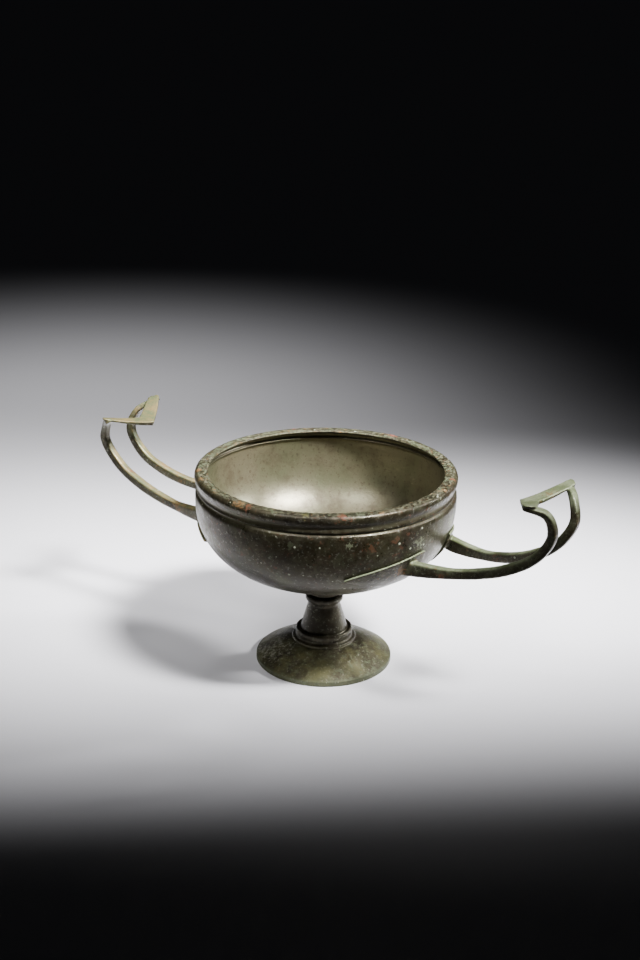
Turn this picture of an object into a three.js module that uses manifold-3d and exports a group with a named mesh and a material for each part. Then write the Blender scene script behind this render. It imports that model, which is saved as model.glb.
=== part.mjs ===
// A bronze kylix: a two-handled drinking cup, made of four castings. A deep bowl with a
// heavy rim stands on a stemmed foot, and two upswept handles are fixed to its sides.
// Each handle is two bars under one forked thumb-plate, growing out of two leaf-shaped
// plates that lie against the bowl.
// Millimetres, +Z up, the foot rests on Z = 0 and the handles lie along X.

import * as THREE from "three";
import { mergeVertices } from "three/addons/utils/BufferGeometryUtils.js";
import Module from "manifold-3d";

const wasm = await Module();
wasm.setup();

// ---- driving dimensions ---------------------------------------------------------------

const CLEARANCE = 0.35; // space between two castings that touch

const RIM = {
  radius: 70, // outermost point of the cup
  top: 110.7, // height of the cup
  band: 8, // width of the flat band on top of the rim
  height: 9.3, // from the thin lip under the rim up to its top
  groove: 1.4, // how far the groove under the lip is cut in from the outermost point
};

const WALL = 2.4; // thickness of the bowl
const SHOULDER_Z = 97; // height at which the bowl is widest under its rim
const BOWL = { radius: 69.6, depth: 47.4, power: 2.42 }; // a rounded, full-bellied curve

const BOSS_RADIUS = 8.75; // round boss under the bowl that meets the foot

const FOOT = {
  top: 38.4, // where the foot meets the boss
  collar: 10.5, // radius of the rounded collar at the top
  collarZ: 36.4,
  waist: 9, // radius under the collar
  waistZ: 32.7,
  stem: 12.95, // radius at the bottom of the conical stem
  stemZ: 18.5,
  ring: 15.8, // radius of the rolled ring under the stem
  ringZ: 16.9,
  fillet: 17.5, // radius of the thin fillet under the ring
  filletZ: 13.2,
  disc: 37.2, // radius of the spreading disc
  edge: 2.9, // thickness of the disc's edge
  land: 4.2, // width of the flat ring that the foot rests on
  hollow: 13, // height of the hollow under the foot
};

// Centre line of one handle bar, from its root on the bowl to its end under the thumb-plate:
// distance out from the axis of the cup, distance to the side, height.
const BAR_LINE = [
  [58, 24, 75.6],
  [62.4, 22.3, 75],
  [79.7, 17.9, 75.4],
  [97.1, 14.4, 77.6],
  [114.2, 12.2, 82.9],
  [129.3, 11.2, 92.1],
  [137.9, 11.9, 105.5],
  [135.7, 14.6, 116],
  [127.4, 24.2, 121.4],
];
const BAR_STEPS = 22;
const BAR_CORNER = 0.36; // share of a half side that each rounded corner takes

const THUMB_PLATE = {
  tip: [113.4, 0, 116.5], // point that looks at the bowl
  notch: [124, 0, 117.8], // middle of the edge that looks outward
  inner: [127.7, 25.4, 123.3], // corner of a wing nearest the bowl
  outer: [133.2, 20.6, 122.3], // corner of a wing farthest from the bowl
  thickness: 2.3, // in the middle
  wingThickness: 1.1, // at the ends of the wings
  roundEnd: 1.3, // how far each wing's rounded end reaches past its corners
  sweep: 1.35, // how late the wings rise towards their ends
  steps: 6,
};

const LEAF = {
  from: 11, // degrees around the bowl, counted from the handle's own direction
  to: 50,
  middleZ: 74,
  above: 11, // height of the upper edge over the middle, at the broad end
  below: 8.4, // depth of the lower edge under the middle, at the broad end
  upperPower: 0.65,
  lowerPower: 2.5,
  corner: 6, // degrees over which the lower corner of the broad end is rounded
  cornerRise: 4.4,
  thickness: 1.2,
  steps: 11,
  across: 4,
};

// How far each handle is bent out of true: dipped, swung aside and twisted about its root, in
// degrees; how far its thumb-plate is pushed towards the bowl and up; and how much higher the
// tip of the leaf nearer to -Y lies.
const BEND_PIVOT = new THREE.Vector3(68, 0, 72);
const PUSHED_FROM = 108; // the push begins at this height and is complete at the next
const PUSHED_TO = 119;
const BEND = {
  right: { dip: -1.81, swing: -2.29, twist: -2.03, pushIn: 0, pushUp: 0, leafLift: 0 },
  left: { dip: 1.76, swing: -2.4, twist: 0.83, pushIn: 1.7, pushUp: 0.9, leafLift: 2 },
};

const BOWL_SIDES = 50;
const FOOT_SIDES = 40;
const CURVE_STEPS = 2; // straight runs along each small curve of a profile

// ---- shared helpers -------------------------------------------------------------------

const degrees = THREE.MathUtils.degToRad;
const lerp = THREE.MathUtils.lerp;

function signedVolume(points, triangles) {
  return triangles.reduce((sum, [a, b, c]) => {
    const normal = new THREE.Vector3().crossVectors(points[b], points[c]);
    return sum + points[a].dot(normal) / 6;
  }, 0);
}

// A closed solid from points and triangles, with its faces turned outward.
function solidFrom(points, triangles) {
  const outward = signedVolume(points, triangles) > 0;
  const order = outward ? (t) => t : ([a, b, c]) => [a, c, b];
  const mesh = new wasm.Mesh({
    numProp: 3,
    vertProperties: new Float32Array(points.flatMap((p) => [p.x, p.y, p.z])),
    triVerts: new Uint32Array(triangles.flatMap(order)),
  });
  return new wasm.Manifold(mesh);
}

function geometryOf(solid) {
  const { vertProperties, triVerts } = solid.getMesh();
  const geometry = new THREE.BufferGeometry();
  geometry.setAttribute("position", new THREE.BufferAttribute(vertProperties, 3));
  geometry.setIndex(new THREE.BufferAttribute(triVerts, 1));
  geometry.computeVertexNormals();
  return geometry;
}

// Turns a profile of radius and height about the vertical axis.
function turned(profile, sides) {
  const lathe = new THREE.LatheGeometry(profile, sides);
  lathe.deleteAttribute("normal");
  lathe.deleteAttribute("uv");
  lathe.rotateX(Math.PI / 2);
  const merged = mergeVertices(lathe, 1e-4);
  const { position } = merged.attributes;
  const points = [];
  for (let i = 0; i < position.count; i += 1) {
    points.push(new THREE.Vector3().fromBufferAttribute(position, i));
  }
  const triangles = [];
  for (let i = 0; i < merged.index.count; i += 3) {
    const corners = [0, 1, 2].map((k) => merged.index.getX(i + k));
    if (new Set(corners).size === 3) triangles.push(corners);
  }
  return solidFrom(points, triangles);
}

// Joins a row of rings that all have the same, even number of points into one closed solid.
// Each end is closed by a strip between the two halves of its ring.
function lofted(rings) {
  const count = rings[0].length;
  const triangles = [];
  for (let ring = 0; ring + 1 < rings.length; ring += 1) {
    for (let i = 0; i < count; i += 1) {
      const a = ring * count + i;
      const b = ring * count + ((i + 1) % count);
      triangles.push([a, b, b + count], [a, b + count, a + count]);
    }
  }
  const last = (rings.length - 1) * count;
  for (let i = 0; i + 1 < count / 2; i += 1) {
    const [a, b, c, d] = [i, i + 1, count - 2 - i, count - 1 - i];
    triangles.push([a, c, b], [a, d, c]);
    triangles.push([last + a, last + b, last + c], [last + a, last + c, last + d]);
  }
  return solidFrom(rings.flat(), triangles);
}

// An eight-sided ring: a rectangle with its corners cut, across the directions u and v.
function cutRectangle(centre, u, v, halfU, halfV, corner) {
  const cut = Math.min(halfU, halfV) * corner;
  const outline = [
    [halfU, halfV - cut], [halfU - cut, halfV], [cut - halfU, halfV], [-halfU, halfV - cut],
    [-halfU, cut - halfV], [cut - halfU, -halfV], [halfU - cut, -halfV], [halfU, cut - halfV],
  ];
  return outline.map(([a, b]) => centre.clone().addScaledVector(u, a).addScaledVector(v, b));
}

// ---- bowl -----------------------------------------------------------------------------

// One skin of the bowl as points from the given start angle (0 at the shoulder) to the end
// angle (90 degrees at the bottom), set in from the outer skin by `inset`.
function bowlSkin(inset, fromAngle, toAngle, steps) {
  const radius = BOWL.radius - inset;
  const depth = BOWL.depth - inset;
  const points = [];
  for (let i = 0; i <= steps; i += 1) {
    const angle = lerp(fromAngle, toAngle, i / steps);
    const r = radius * Math.cos(angle) ** (2 / BOWL.power);
    const drop = depth * Math.sin(angle) ** (2 / BOWL.power);
    points.push(new THREE.Vector2(r, SHOULDER_Z - drop));
  }
  return points;
}

// Outer radius of the bowl at a height below the shoulder.
function bowlRadius(z) {
  const drop = Math.max(0, SHOULDER_Z - z) / BOWL.depth;
  return BOWL.radius * (1 - drop ** BOWL.power) ** (1 / BOWL.power);
}

function rimProfile() {
  const { radius, top, band, height, groove } = RIM;
  const inside = radius - band;
  const lipZ = top - height;
  const wallInside = BOWL.radius - WALL;
  const rim = new THREE.Path();
  rim.moveTo(wallInside, SHOULDER_Z);
  rim.lineTo(wallInside - 0.6, lipZ + 2.3);
  rim.lineTo(wallInside - 2, lipZ + 3.5); // thin ridge under the inner edge
  rim.lineTo(wallInside - 0.8, lipZ + 4.4);
  rim.quadraticCurveTo(wallInside - 0.7, top - 2.2, inside + 1, top - 2.1);
  rim.quadraticCurveTo(inside - 0.4, top - 0.9, inside + 1.4, top - 0.35);
  rim.quadraticCurveTo(inside + 3, top, radius - 3, top);
  rim.quadraticCurveTo(radius - 0.4, top - 0.1, radius, top - 2.9);
  rim.quadraticCurveTo(radius, top - 4.2, radius - 0.5, top - 5.2);
  rim.quadraticCurveTo(radius - 2.1, lipZ + 2.4, radius - 1, lipZ + 0.2); // hollow moulding
  rim.lineTo(radius - 1.15, lipZ - 0.2);
  rim.lineTo(radius - groove - 0.3, lipZ - 0.5);
  rim.lineTo(radius - groove - 0.2, lipZ - 1.1);
  rim.lineTo(BOWL.radius - 0.15, lipZ - 2.2);
  return rim.getPoints(CURVE_STEPS);
}

function makeBowl() {
  const bossAngle = Math.acos((BOSS_RADIUS * 1.35 / BOWL.radius) ** (BOWL.power / 2));
  const bossFoot = FOOT.top + CLEARANCE;
  const inner = bowlSkin(WALL, Math.PI / 2, 0, 10);
  inner[0].x = 0;
  const outer = bowlSkin(0, 0, bossAngle, 11);
  const filletZ = outer.at(-1).y - 3;
  const profile = [
    ...inner.slice(0, -1),
    ...rimProfile(),
    ...outer,
    new THREE.Vector2(BOSS_RADIUS + 0.7, filletZ + 1.6),
    new THREE.Vector2(BOSS_RADIUS, filletZ),
    new THREE.Vector2(BOSS_RADIUS, bossFoot),
    new THREE.Vector2(0, bossFoot),
  ];
  return turned(profile, BOWL_SIDES);
}

// ---- foot -----------------------------------------------------------------------------

function makeFoot() {
  const f = FOOT;
  const restInside = f.disc - f.land;
  const outline = new THREE.Path();
  outline.moveTo(0, f.top);
  outline.lineTo(BOSS_RADIUS + 0.2, f.top);
  outline.quadraticCurveTo(f.collar, f.top - 0.3, f.collar, f.collarZ);
  outline.quadraticCurveTo(f.collar, f.collarZ - 1.2, f.waist + 0.6, f.collarZ - 2);
  outline.quadraticCurveTo(f.waist, f.waistZ + 1, f.waist, f.waistZ);
  outline.lineTo(f.stem, f.stemZ);
  outline.lineTo(f.stem + 0.3, f.stemZ - 0.4);
  outline.lineTo(f.ring - 1.3, f.ringZ + 1.9);
  outline.quadraticCurveTo(f.ring, f.ringZ + 1.7, f.ring, f.ringZ);
  outline.quadraticCurveTo(f.ring, f.ringZ - 1.3, f.ring - 0.3, f.ringZ - 1.9);
  outline.lineTo(f.ring - 0.1, f.filletZ + 0.9);
  outline.lineTo(f.fillet - 0.4, f.filletZ + 0.5);
  outline.lineTo(f.fillet, f.filletZ);
  outline.lineTo(f.fillet - 0.1, f.filletZ - 0.7);
  outline.quadraticCurveTo(lerp(f.fillet, f.disc, 0.52), f.edge + 5.7, f.disc - 0.2, f.edge);
  outline.lineTo(f.disc + 0.1, f.edge - 0.7);
  outline.lineTo(f.disc, 0);
  outline.lineTo(restInside, 0);
  outline.quadraticCurveTo(restInside * 0.5, f.hollow * 0.62, f.stem * 0.7, f.hollow - 1);
  outline.quadraticCurveTo(f.stem * 0.35, f.hollow, 0, f.hollow);
  return turned(outline.getPoints(CURVE_STEPS), FOOT_SIDES);
}

// ---- handles --------------------------------------------------------------------------

// Moves a point of a straight handle to where the bent handle has it, then to its own side
// of the cup: side is 1 for the right handle and -1 for the left.
function bent(point, bend, side) {
  const [dip, swing, twist] = [bend.dip, bend.swing, bend.twist].map(degrees);
  const push = THREE.MathUtils.smoothstep(point.z, PUSHED_FROM, PUSHED_TO);
  const moved = point.clone().sub(BEND_PIVOT);
  moved.x -= bend.pushIn * push;
  moved.z += bend.pushUp * push;
  moved.applyAxisAngle(new THREE.Vector3(1, 0, 0), twist);
  moved.applyAxisAngle(new THREE.Vector3(0, 1, 0), dip);
  moved.applyAxisAngle(new THREE.Vector3(0, 0, 1), swing);
  moved.add(BEND_PIVOT);
  moved.x *= side;
  return moved;
}

// Half height and half width of a bar at a share of its length.
function barHalfSizes(share) {
  const flare = Math.max(0, 1 - share / 0.16) ** 1.5;
  const curl = THREE.MathUtils.smoothstep(share, 0.45, 0.75);
  const taper = Math.max(0, (share - 0.8) / 0.2);
  return [2.85 - 0.2 * curl + 3.2 * flare - taper, 2.2 + 1.6 * flare + 0.6 * taper];
}

function makeBar(flank, bend, side) {
  const line = new THREE.CatmullRomCurve3(
    BAR_LINE.map(([x, y, z]) => new THREE.Vector3(x, y * flank, z)),
    false,
    "centripetal",
  );
  const rings = [];
  for (let i = 0; i <= BAR_STEPS; i += 1) {
    const share = i / BAR_STEPS;
    const along = line.getTangentAt(share);
    const sideways = new THREE.Vector3(0, 1, 0).addScaledVector(along, -along.y).normalize();
    const upward = new THREE.Vector3().crossVectors(along, sideways);
    const [halfHeight, halfWidth] = barHalfSizes(share);
    const centre = line.getPointAt(share);
    const ring = cutRectangle(centre, sideways, upward, halfWidth, halfHeight, BAR_CORNER);
    rings.push(ring.map((point) => bent(point, bend, side)));
  }
  return lofted(rings);
}

// The way a wing of the thumb-plate points: from the middle of the plate to the wing's end.
function wingDirection(sign) {
  const { tip, notch, inner, outer } = THUMB_PLATE;
  const [x, y, z] = [0, 1, 2].map((k) => inner[k] + outer[k] - tip[k] - notch[k]);
  return new THREE.Vector3(x, y * sign, z).normalize();
}

function makeThumbPlate(bend, side) {
  const { tip, notch, inner, outer, thickness, wingThickness, sweep, steps } = THUMB_PLATE;
  const rings = [];
  for (let i = -steps - 1; i <= steps + 1; i += 1) {
    const share = Math.min(1, Math.abs(i) / steps);
    const sign = Math.sign(i);
    const between = (from, to) => new THREE.Vector3(
      lerp(from[0], to[0], share),
      lerp(from[1], to[1], share) * sign,
      lerp(from[2], to[2], share ** sweep),
    );
    const bowlSide = between(tip, inner);
    const farSide = between(notch, outer);
    const isEnd = Math.abs(i) > steps;
    const across = farSide.clone().sub(bowlSide);
    const half = (across.length() / 2) * (isEnd ? 0.6 : 1);
    across.normalize();
    const upward = new THREE.Vector3(0, 0, 1).addScaledVector(across, -across.z).normalize();
    const halfThick = lerp(thickness, wingThickness, share) / 2;
    const centre = bowlSide.add(farSide).divideScalar(2);
    centre.addScaledVector(upward, -halfThick);
    if (isEnd) centre.addScaledVector(wingDirection(sign), THUMB_PLATE.roundEnd);
    const ring = cutRectangle(centre, across, upward, half, halfThick, 0.5);
    rings.push(ring.map((point) => bent(point, bend, side)));
  }
  return lofted(rings);
}

// Upper and lower edge of a leaf plate at a share of its length from broad end to tip.
function leafEdges(share, lift) {
  const middle = LEAF.middleZ + lift * share;
  const upper = middle + LEAF.above * (1 - share) ** LEAF.upperPower;
  const fromCorner = Math.max(0, 1 - (share * (LEAF.to - LEAF.from)) / LEAF.corner);
  const rise = LEAF.cornerRise * (1 - Math.sqrt(1 - fromCorner ** 2));
  const lower = middle - LEAF.below * (1 - share ** LEAF.lowerPower) + rise;
  return [upper, lower];
}

// A point at a distance off the outer skin of the bowl.
function offBowl(angle, z, distance) {
  const step = 0.01;
  const slope = (bowlRadius(z + step) - bowlRadius(z - step)) / (2 * step);
  const tilt = Math.hypot(1, slope);
  const r = bowlRadius(z) + distance / tilt;
  return new THREE.Vector3(
    r * Math.cos(angle),
    r * Math.sin(angle),
    z - (distance * slope) / tilt,
  );
}

function makeLeaf(flank, side, lift) {
  const { from, to, thickness, steps, across } = LEAF;
  const rings = [];
  for (let i = 0; i <= steps; i += 1) {
    const share = Math.min((i / steps) ** 1.25, 0.995);
    const angle = degrees(lerp(from, to, share)) * flank;
    const [upper, lower] = leafEdges(share, lift);
    const row = (distance) => {
      const points = [];
      for (let k = 0; k <= across; k += 1) {
        const point = offBowl(angle, lerp(upper, lower, k / across), distance);
        point.x *= side;
        points.push(point);
      }
      return points;
    };
    rings.push([...row(CLEARANCE), ...row(CLEARANCE + thickness).reverse()]);
  }
  return lofted(rings);
}

// The bowl's outer skin grown to halfway into the leaf plates: it trims the root of each bar.
function bowlEnvelope() {
  const grow = CLEARANCE + LEAF.thickness / 2;
  const skin = bowlSkin(-grow, 0, Math.PI / 2, 16);
  skin.at(-1).x = 0;
  return turned([new THREE.Vector2(0, RIM.top), new THREE.Vector2(skin[0].x, RIM.top), ...skin],
    BOWL_SIDES);
}

function makeHandle(bend, side) {
  const envelope = bowlEnvelope();
  let handle = makeThumbPlate(bend, side);
  for (const flank of [-1, 1]) {
    const lift = flank < 0 ? bend.leafLift : 0;
    handle = handle.add(makeBar(flank, bend, side).subtract(envelope));
    handle = handle.add(makeLeaf(flank, side, lift));
  }
  return handle;
}

// ---- the cup --------------------------------------------------------------------------

const bronze = {
  bowl: { color: 0x4a463a, roughness: 0.42, metalness: 0.85 },
  foot: { color: 0x45442f, roughness: 0.48, metalness: 0.8 },
  handle_right: { color: 0x7c8a6a, roughness: 0.45, metalness: 0.6 },
  handle_left: { color: 0x6e6445, roughness: 0.42, metalness: 0.75 },
};

const solids = {
  bowl: makeBowl(),
  foot: makeFoot(),
  handle_right: makeHandle(BEND.right, 1),
  handle_left: makeHandle(BEND.left, -1),
};

const cup = new THREE.Group();
for (const [name, solid] of Object.entries(solids)) {
  const mesh = new THREE.Mesh(geometryOf(solid), new THREE.MeshStandardMaterial(bronze[name]));
  mesh.name = name;
  cup.add(mesh);
}

// The bent handles reach out unequally: the cup is set so that its box is centred on Z.
const middle = new THREE.Box3().setFromObject(cup).getCenter(new THREE.Vector3());
cup.position.set(-middle.x, -middle.y, 0);
cup.updateMatrixWorld(true);

export default cup;
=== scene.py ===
import math

import bpy
from mathutils import Matrix, Vector


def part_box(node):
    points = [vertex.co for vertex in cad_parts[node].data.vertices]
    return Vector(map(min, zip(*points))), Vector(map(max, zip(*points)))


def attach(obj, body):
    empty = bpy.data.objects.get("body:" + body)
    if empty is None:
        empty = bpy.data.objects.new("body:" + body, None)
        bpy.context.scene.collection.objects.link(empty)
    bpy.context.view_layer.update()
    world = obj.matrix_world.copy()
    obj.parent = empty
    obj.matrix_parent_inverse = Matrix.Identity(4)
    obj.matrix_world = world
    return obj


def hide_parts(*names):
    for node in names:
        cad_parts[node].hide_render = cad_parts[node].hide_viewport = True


bl_info = {
    "name": "Bronze Kylix",
    "version": (1, 0, 0),
    "blender": (4, 5, 0),
    "location": "3D View > Sidebar > Kylix",
    "description": "Models a patinated bronze drinking cup with two upswept handles",
    "category": "Add Mesh",
}

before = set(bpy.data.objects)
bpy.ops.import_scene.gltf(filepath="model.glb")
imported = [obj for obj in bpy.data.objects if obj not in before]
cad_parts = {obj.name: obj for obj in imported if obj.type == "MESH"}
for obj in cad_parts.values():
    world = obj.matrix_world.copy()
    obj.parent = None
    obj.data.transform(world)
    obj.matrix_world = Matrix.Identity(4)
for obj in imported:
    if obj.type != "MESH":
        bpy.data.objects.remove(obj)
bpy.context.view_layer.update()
FOOT_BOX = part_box("foot")
BOWL_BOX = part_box("bowl")

AXIS = Vector(((FOOT_BOX[0][0] + FOOT_BOX[1][0]) / 2, (FOOT_BOX[0][1] + FOOT_BOX[1][1]) / 2, 0))
CUP_TOP = BOWL_BOX[1][2]
RIM_RADIUS = (BOWL_BOX[1][1] - BOWL_BOX[0][1]) / 2
FOOT_TOP = FOOT_BOX[1][2]
DISC_RADIUS = (FOOT_BOX[1][1] - FOOT_BOX[0][1]) / 2
MM = 0.001


def mm(value):
    """A length given in millimetres, in metres."""
    return value * MM


def from_hex(code):
    """A colour written as six hexadecimal digits, as the linear values that shaders use."""
    parts = [int(code[i:i + 2], 16) / 255 for i in (0, 2, 4)]
    return tuple(p / 12.92 if p <= 0.04045 else ((p + 0.055) / 1.055) ** 2.4 for p in parts)


def length(name, description, default):
    return bpy.props.FloatProperty(
        name=name, description=description, default=default, min=0.0,
        unit="LENGTH", subtype="DISTANCE", precision=5,
    )


def angle(name, description, default):
    return bpy.props.FloatProperty(
        name=name, description=description, default=math.radians(default),
        unit="ROTATION", subtype="ANGLE",
    )


def power(name, description, default):
    return bpy.props.FloatProperty(
        name=name, description=description, default=default, min=0.0, unit="POWER",
    )


def colour(name, description, code):
    return bpy.props.FloatVectorProperty(
        name=name, description=description, default=from_hex(code), min=0.0, max=1.0,
        size=3, subtype="COLOR",
    )


# ---- what a user would change -----------------------------------------------------------


class KylixBowl(bpy.types.PropertyGroup):
    """Sizes of the bowl and its rim."""

    rim_radius: length("Rim radius", "Outermost radius of the rim", RIM_RADIUS)
    rim_band: length("Rim band", "Width of the flat band on top of the rim", mm(8))
    rim_height: length("Rim height", "From the thin lip under the rim to its top", mm(9.3))
    groove: length("Groove depth", "How far the groove is cut in from the rim", mm(1.4))
    wall: length("Wall", "Thickness of the bowl", mm(2.4))
    belly_radius: length("Belly radius", "Radius of the bowl at its shoulder", mm(69.6))
    belly_depth: length("Belly depth", "Depth of the outer skin under the shoulder", mm(47.4))
    shoulder: length("Shoulder height", "Height at which the bowl is widest", mm(97))
    belly_power: bpy.props.FloatProperty(
        name="Fullness", description="Power of the belly's curve; 2 is an ellipse", default=2.42,
    )
    boss_radius: length("Boss radius", "Round boss under the bowl", mm(8.75))


class KylixFoot(bpy.types.PropertyGroup):
    """Sizes of the stem and foot."""

    collar: length("Collar radius", "Rounded collar at the top of the stem", mm(10.5))
    collar_height: length("Collar height", "Height of the collar's widest point", mm(36.4))
    waist: length("Waist radius", "Radius of the stem under the collar", mm(9))
    waist_height: length("Waist height", "Height of the waist", mm(32.7))
    stem: length("Stem radius", "Radius at the bottom of the conical stem", mm(12.95))
    stem_height: length("Stem bottom", "Height of the bottom of the stem", mm(18.5))
    ring: length("Ring radius", "Radius of the rolled ring", mm(15.8))
    ring_height: length("Ring height", "Height of the rolled ring's middle", mm(16.9))
    fillet: length("Fillet radius", "Radius of the thin fillet", mm(17.5))
    fillet_height: length("Fillet height", "Height of the thin fillet", mm(13.2))
    disc: length("Disc radius", "Radius of the spreading disc", DISC_RADIUS - mm(0.1))
    edge: length("Disc edge", "Thickness of the disc at its edge", mm(2.9))
    land: length("Resting ring", "Width of the flat ring that the foot rests on", mm(4.2))
    hollow: length("Hollow", "Height of the hollow under the foot", mm(13))


class KylixHandles(bpy.types.PropertyGroup):
    """Sizes of the bars, thumb-plates and leaf plates."""

    bar_height: length("Bar height", "Half height of a bar", mm(2.92))
    bar_width: length("Bar width", "Half width of a bar", mm(2.3))
    plate_middle: length("Plate thickness", "Thumb-plate's thickness in the middle", mm(2.6))
    plate_wing: length("Wing thickness", "Thumb-plate's thickness at its wings", mm(1.5))
    leaf_thickness: length("Leaf thickness", "Thickness of the leaf plates", mm(1.4))
    clearance: length("Clearance", "Space between a leaf plate and the bowl", mm(0.05))
    leaf_from: angle("Leaf start", "Where a leaf begins, from the handle's direction", 11)
    leaf_to: angle("Leaf tip", "Where a leaf ends", 50)
    grain: length("Casting grain", "Size of the mesh that fuses a handle into one", mm(0.42))


class KylixFinish(bpy.types.PropertyGroup):
    """Colours of the bronze and of its patina."""

    bronze_dark: colour("Dark bronze", "Bare, darkened metal", "2a261c")
    bronze_olive: colour("Olive bronze", "Metal under a thin green film", "413f2a")
    bronze_warm: colour("Warm bronze", "Brown metal where the film is worn", "3f3225")
    brown: colour("Brown crust", "Dark brown spots", "33251a")
    green: colour("Green patina", "Soft green patina", "545c43")
    # Also the film on the right handle's upward faces, where it partly paints light from above.
    verdigris: colour("Verdigris", "Deeper green on the handles", "66704e")
    sage: colour("Sage patina", "Pale green patina of the right handle", "8c9476")
    yellow_green: colour("Yellow-green patina", "Patina on the foot", "5c5a33")
    # Laid on the left handle's upward faces, where it partly paints light from above.
    sand: colour("Sandy patina", "Beige-gold film of the left handle", "968459")
    rust: colour("Red-brown crust", "Orange-brown spots of copper oxide", "6a3d26")
    red: colour("Red stain", "Small red spots on the rim", "9a4c3c")
    ochre: colour("Ochre crust", "Sandy deposits", "765833")
    crust: colour("Rim crust", "Grey-green crust on top of the rim", "5d5b47")
    speck: colour("Pale specks", "Whitish-green specks", "a9ad98")
    # Also laid as a patch on the foot's left, where it is partly a painted highlight.
    pale_grey: colour("Pale grey film", "Grey patch on the foot", "84847a")
    inside: colour("Inside film", "Smooth grey film in the bowl", "6a6450")
    inside_green: colour("Inside green", "Greener part of the film in the bowl", "585a43")


class KylixStage(bpy.types.PropertyGroup):
    """Camera, light and floor."""

    lens: bpy.props.FloatProperty(
        name="Lens", description="Focal length in millimetres on a 36 mm frame", default=56.25,
    )
    roll: angle("Camera roll", "How far the camera leans", 0.789)
    camera_place: bpy.props.FloatVectorProperty(
        name="Camera place", description="From the foot's centre", size=3, unit="LENGTH",
        default=(0.3946, -0.6330, 0.38295),
    )
    look: bpy.props.FloatVectorProperty(
        name="Looking direction", description="Direction of the camera's axis", size=3,
        default=(-0.49889, 0.79261, -0.35057),
    )
    floor_colour: colour("Floor", "Pale floor", "dcdbe0")
    key_power: power("Key light", "Soft box overhead, to the right and in front", 2.3)
    side_power: power("Side light", "Soft box low on the right", 0.35)
    fill_power: power("Fill light", "Soft box overhead on the left", 0.2)
    back_power: power("Back light", "Soft box over the floor behind", 0.6)
    room: bpy.props.FloatProperty(
        name="Room light", description="Strength of the even light of the room", default=0.006,
    )


def settings(group):
    """One of the scene's groups of settings."""
    return getattr(bpy.context.scene, "kylix_" + group)


# ---- modelling helpers --------------------------------------------------------------------


def edit(piece):
    """Starts editing one piece, with nothing else selected."""
    if bpy.context.object and bpy.context.object.mode != "OBJECT":
        bpy.ops.object.mode_set(mode="OBJECT")
    bpy.ops.object.select_all(action="DESELECT")
    piece.select_set(True)
    bpy.context.view_layer.objects.active = piece
    bpy.ops.object.mode_set(mode="EDIT")


def leave_edit():
    bpy.ops.object.mode_set(mode="OBJECT")


def apply_modifier(piece, kind, name, **values):
    """Adds a modifier, sets its values and applies it."""
    bpy.ops.object.select_all(action="DESELECT")
    piece.select_set(True)
    bpy.context.view_layer.objects.active = piece
    modifier = piece.modifiers.new(name, kind)
    for key, value in values.items():
        setattr(modifier, key, value)
    bpy.ops.object.modifier_apply(modifier=modifier.name)


def new_primitive(adder, name, **values):
    """Adds a primitive with one of Blender's operators and names it."""
    bpy.ops.object.select_all(action="DESELECT")
    adder(**values)
    piece = bpy.context.object
    piece.name = name
    piece.data.name = name
    return piece


def curved(start, control, end, steps):
    """Points after `start` along a curve pulled towards `control`, up to `end`."""
    points = []
    for i in range(1, steps + 1):
        t = i / steps
        a, b, c = (1 - t) ** 2, 2 * t * (1 - t), t * t
        points.append(tuple(a * s + b * k + c * e for s, k, e in zip(start, control, end)))
    return points


class Outline:
    """A profile drawn as radius and height, by straight lines and curves."""

    def __init__(self, start, fineness):
        self.points = [start]
        self.fineness = fineness

    def line(self, *point, steps=1):
        start = self.points[-1]
        for i in range(1, steps + 1):
            t = i / steps
            self.points.append(tuple(s + (e - s) * t for s, e in zip(start, point)))

    def curve(self, control, end):
        self.points += curved(self.points[-1], control, end, self.fineness)


def spun(name, points, steps):
    """Draws a profile as a chain of points beside the cup's axis and spins it all round."""
    piece = new_primitive(bpy.ops.mesh.primitive_plane_add, name, size=MM)
    edit(piece)
    bpy.ops.mesh.select_all(action="SELECT")
    bpy.ops.mesh.merge(type="CENTER")
    bpy.ops.transform.translate(value=(AXIS.x + points[0][0], AXIS.y, points[0][1]))
    for (r0, z0), (r1, z1) in zip(points, points[1:]):
        step = {"value": (r1 - r0, 0, z1 - z0)}
        bpy.ops.mesh.extrude_region_move(TRANSFORM_OT_translate=step)
    bpy.ops.mesh.select_all(action="SELECT")
    bpy.ops.mesh.spin(steps=steps, angle=math.tau, center=AXIS, axis=(0, 0, 1))
    bpy.ops.mesh.select_all(action="SELECT")
    bpy.ops.mesh.remove_doubles(threshold=1e-6)
    bpy.ops.mesh.normals_make_consistent(inside=False)
    leave_edit()
    return piece


def reshaped(piece, rule):
    """Moves every point of a piece by a rule, as a straight blank is bent to its form."""
    for vertex in piece.data.vertices:
        vertex.co = rule(vertex.co.copy())
    edit(piece)
    bpy.ops.mesh.select_all(action="SELECT")
    bpy.ops.mesh.normals_make_consistent(inside=False)
    leave_edit()


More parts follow.
